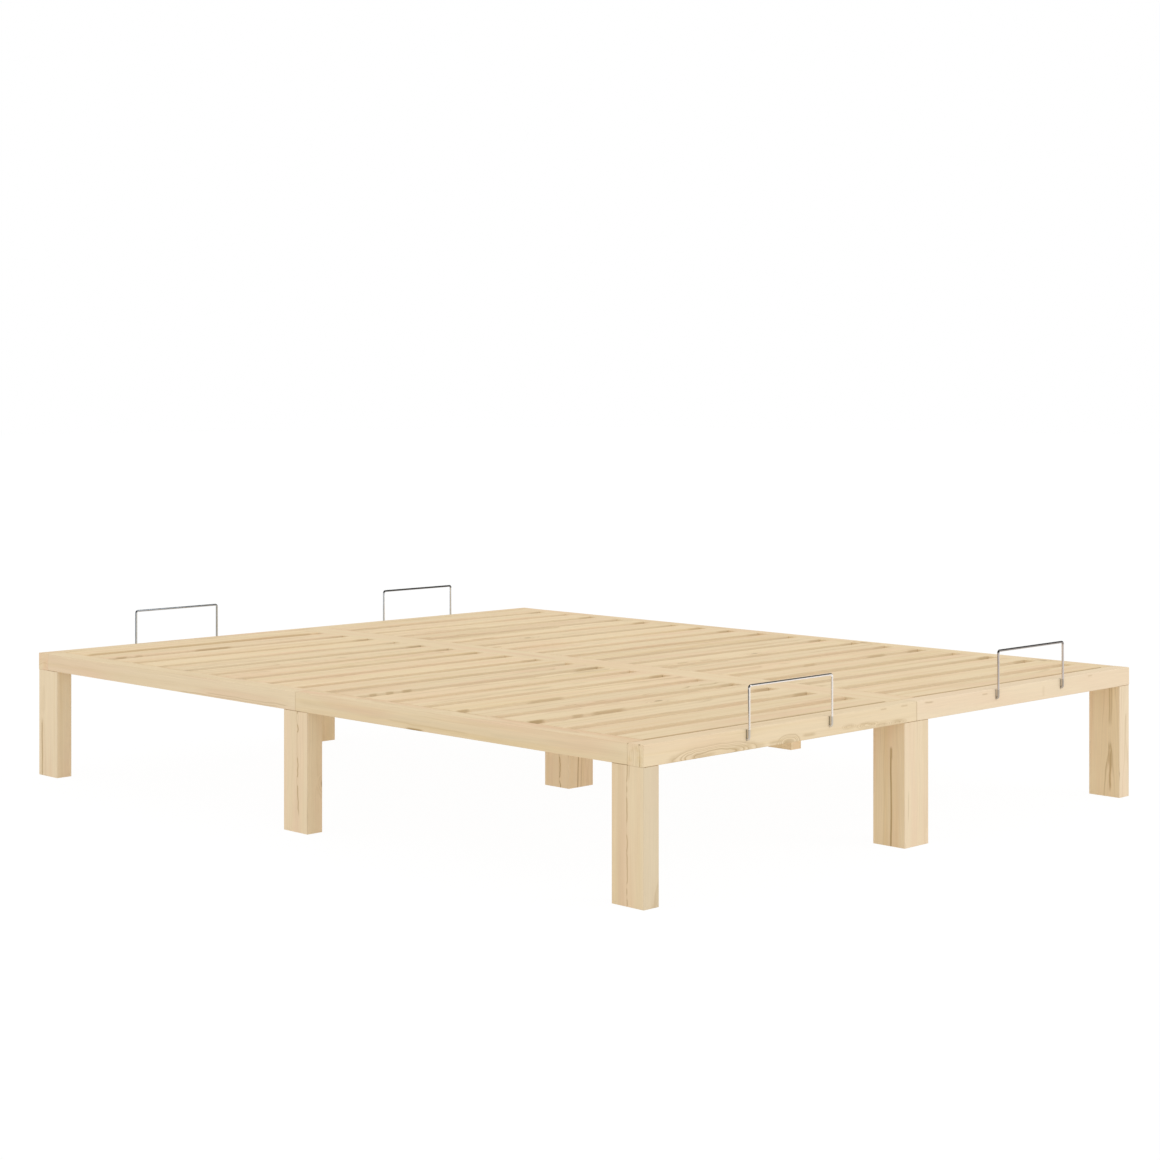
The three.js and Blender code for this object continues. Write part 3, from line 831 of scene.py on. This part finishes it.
def makeStop(node, body):
    low, high = boxOf(node)
    out = 1 if low.x > 0 else -1
    radius = stopShape["diameter"] / 2 * mm
    bend = stopShape["bendRadius"] * mm
    tip = low.x if out > 0 else high.x
    outside = high.x if out > 0 else low.x
    leftY, rightY = low.y + radius, high.y - radius
    footZ, barZ = low.z + radius, high.z - radius
    legX = outside - out * radius
    foot = abs(legX - tip) - bend
    rise = barZ - footZ - 2 * bend
    across = rightY - leftY - 2 * bend

    # one ring of the wire runs out of the left hole, up, across, down and into the right hole
    bm = bmesh.new()
    start = Matrix.Translation((tip, leftY, footZ)) @ Matrix.Rotation(math.pi / 2, 4, "Y")
    bmesh.ops.create_circle(bm, cap_ends=False, radius=radius, segments=stopShape["sides"], matrix=start)
    first = bm.edges[:]
    ring = runStraight(bm, first, (out * foot, 0, 0))
    ring = runBend(bm, ring, (legX - out * bend, leftY, footZ + bend), (0, -out, 0))
    ring = runStraight(bm, ring, (0, 0, rise))
    ring = runBend(bm, ring, (legX, leftY + bend, barZ - bend), (-1, 0, 0))
    ring = runStraight(bm, ring, (0, across, 0))
    ring = runBend(bm, ring, (legX, rightY - bend, barZ - bend), (-1, 0, 0))
    ring = runStraight(bm, ring, (0, 0, -rise))
    ring = runBend(bm, ring, (legX - out * bend, rightY, footZ + bend), (0, out, 0))
    ring = runStraight(bm, ring, (-out * foot, 0, 0))
    bmesh.ops.holes_fill(bm, edges=first + ring, sides=0)
    rims = [e for e in bm.edges if any(len(f.verts) > 4 for f in e.link_faces)]
    bmesh.ops.bevel(
        bm, geom=rims, offset=stopShape["endRound"] * mm, affect="EDGES",
        segments=stopShape["endSteps"], profile=0.5, material=-1,
    )
    bmesh.ops.remove_doubles(bm, verts=bm.verts, dist=stopShape["weld"] * mm)
    bmesh.ops.recalc_face_normals(bm, faces=bm.faces)
    for face in bm.faces:
        face.smooth = True
    mesh = bpy.data.meshes.new("bent_wire_" + body)
    bm.to_mesh(mesh)
    bm.free()
    piece = addObject("bent_wire_" + body, mesh)
    mesh.materials.append(wireMaterial(body.removeprefix("stop_"), node))
    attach(piece, body)
    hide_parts(node)


# studio

studio = {
    "imageSize": 1160,  # px, both ways
    "focalLength": 2236.8,  # px
    "principalPoint": (580.5, 394.03),  # px, where a level camera's axis meets the picture
    "cameraPlace": (3.7207, -3.6659, 0.9122),  # m
    "cameraHeading": 45.13,  # degrees to the left of +Y
    "sensor": 36,  # mm
    "sight": 200,  # m
    "white": "#FFFFFF",
    "skyForObject": 0.95,
    "ceilingSeen": 0.1,  # the dark ceiling that the wire mirrors
    "ceilingFrom": (0.02, 0.2),  # height on the unit sphere where it begins and is full
    "sunFrom": (0.14, 0.08, 0.12),  # from the right of the camera
    "sunStrength": 0.4,
    "sunAngle": 24,  # degrees, a wide soft source
    "floorSize": 80,  # m
    "floorColour": "#B1B1B1",
    "floorFill": 0.5,  # its own glow, which fills the shaded sides
    "floorShadow": "#3F3F3F",  # its colour in the picture, and so how much of the bed's shadow shows
    "floorSeen": 0.96,  # its glow in the picture, so that it reads as white
    "floorMirrored": (1.8, 2.8),  # m from the middle of the bed, as far as the wire mirrors it white
    "floorFar": 0.96,  # what the wire mirrors beyond that
    "flagSeen": 0.1,  # the same on the left of the camera, where a dark flag stands
    "flagFrom": (2.3, -0.9),  # m to the right of the bed's middle, where the flag begins and is full
}


def makeCamera():
    data = bpy.data.cameras.new("camera")
    data.sensor_width = studio["sensor"]
    data.lens = studio["focalLength"] / studio["imageSize"] * studio["sensor"]
    size = studio["imageSize"]
    data.shift_x = (size / 2 - studio["principalPoint"][0]) / size
    data.shift_y = (studio["principalPoint"][1] - size / 2) / size
    data.clip_end = studio["sight"]
    camera = addObject("camera", data)
    camera.location = studio["cameraPlace"]
    camera.rotation_euler = (math.pi / 2, 0, math.radians(studio["cameraHeading"]))
    bpy.context.scene.camera = camera


def sortRays(tree):
    # which rays show in the picture, directly or in metal and glass, and which of them metal mirrors
    path = addNode(tree, "ShaderNodeLightPath")
    seen = path.outputs["Is Camera Ray"]
    for kind in ("Is Glossy Ray", "Is Transmission Ray"):
        seen = addNode(tree, "ShaderNodeMath", {"operation": "MAXIMUM"}, {
            0: seen, 1: path.outputs[kind],
        }).outputs[0]
    return seen, path.outputs["Is Glossy Ray"]


def makeWorld():
    # white behind the bed, plain soft light on it, and a dark ceiling in the wires
    world = bpy.data.worlds.new("studio")
    bpy.context.scene.world = world
    world.use_nodes = True
    tree = world.node_tree
    tree.nodes.clear()
    seen, mirrored = sortRays(tree)
    direction = addNode(tree, "ShaderNodeTexCoord").outputs["Generated"]
    height = addNode(tree, "ShaderNodeSeparateXYZ", {}, {0: direction}).outputs["Z"]
    begins, full = studio["ceilingFrom"]
    ceiling = addNode(tree, "ShaderNodeMapRange", {"interpolation_type": "SMOOTHSTEP"}, {
        "Value": height, "From Min": begins, "From Max": full, "To Min": 1.0, "To Max": studio["ceilingSeen"],
    })
    shown = addNode(tree, "ShaderNodeMix", {"data_type": "FLOAT"}, {
        0: mirrored, 2: 1.0, 3: ceiling.outputs["Result"],
    })
    strength = addNode(tree, "ShaderNodeMix", {"data_type": "FLOAT"}, {
        0: seen, 2: studio["skyForObject"], 3: shown.outputs[0],
    })
    sky = addNode(tree, "ShaderNodeBackground", {}, {
        "Color": srgb(studio["white"]), "Strength": strength.outputs[0],
    })
    output = addNode(tree, "ShaderNodeOutputWorld")
    tree.links.new(sky.outputs[0], output.inputs["Surface"])


def makeSun():
    data = bpy.data.lights.new("softbox", "SUN")
    data.energy = studio["sunStrength"]
    data.angle = math.radians(studio["sunAngle"])
    lamp = addObject("softbox", data)
    lamp.rotation_euler = Vector(studio["sunFrom"]).to_track_quat("Z", "Y").to_euler()


def floorMaterial():
    # Opal acrylic lit from below, as on a light table: evenly white, with only a faint shadow
    material, tree, output = newMaterial("opalAcrylic")
    seen, mirrored = sortRays(tree)
    place = addNode(tree, "ShaderNodeTexCoord").outputs["Object"]
    toRight = addNode(tree, "ShaderNodeVectorMath", {"operation": "DOT_PRODUCT"}, {
        0: place, 1: Vector((1, 1, 0)).normalized(),
    })
    begins, full = studio["flagFrom"]
    flag = addNode(tree, "ShaderNodeMapRange", {"interpolation_type": "SMOOTHSTEP"}, {
        "Value": toRight.outputs["Value"], "From Min": begins, "From Max": full,
        "To Min": studio["floorFar"], "To Max": studio["flagSeen"],
    })
    fromMiddle = addNode(tree, "ShaderNodeVectorMath", {"operation": "LENGTH"}, {0: place})
    begins, full = studio["floorMirrored"]
    farther = addNode(tree, "ShaderNodeMapRange", {"interpolation_type": "SMOOTHSTEP"}, {
        "Value": fromMiddle.outputs["Value"], "From Min": begins, "From Max": full,
    })
    inMetal = addNode(tree, "ShaderNodeMix", {"data_type": "FLOAT"}, {
        0: farther.outputs["Result"], 2: studio["floorSeen"], 3: flag.outputs["Result"],
    })
    shown = addNode(tree, "ShaderNodeMix", {"data_type": "FLOAT"}, {
        0: mirrored, 2: studio["floorSeen"], 3: inMetal.outputs[0],
    })
    sheets = []
    for colour, strength in (("floorColour", studio["floorFill"]), ("floorShadow", shown.outputs[0])):
        matt = addNode(tree, "ShaderNodeBsdfDiffuse", {}, {"Color": srgb(studio[colour])})
        glow = addNode(tree, "ShaderNodeEmission", {}, {"Color": srgb(studio["white"]), "Strength": strength})
        sheets.append(addNode(tree, "ShaderNodeAddShader", {}, {0: matt.outputs[0], 1: glow.outputs[0]}))
    both = addNode(tree, "ShaderNodeMixShader", {}, {
        0: seen, 1: sheets[0].outputs[0], 2: sheets[1].outputs[0],
    })
    tree.links.new(both.outputs[0], output.inputs["Surface"])
    return material


def makeFloor():
    bm = bmesh.new()
    bmesh.ops.create_grid(bm, x_segments=1, y_segments=1, size=studio["floorSize"] / 2)
    mesh = bpy.data.meshes.new("floor")
    bm.to_mesh(mesh)
    bm.free()
    mesh.materials.append(floorMaterial())
    addObject("floor", mesh)


makeCamera()
makeWorld()
makeSun()
makeFloor()
bpy.context.scene.view_settings.view_transform = "Standard"
print("studio ready")

dressTimbers()

for body in sorted(frame["bodies"]):
    if body.startswith("stop_"):
        makeStop("mattress_" + body, body)
print("mattress stops bent")
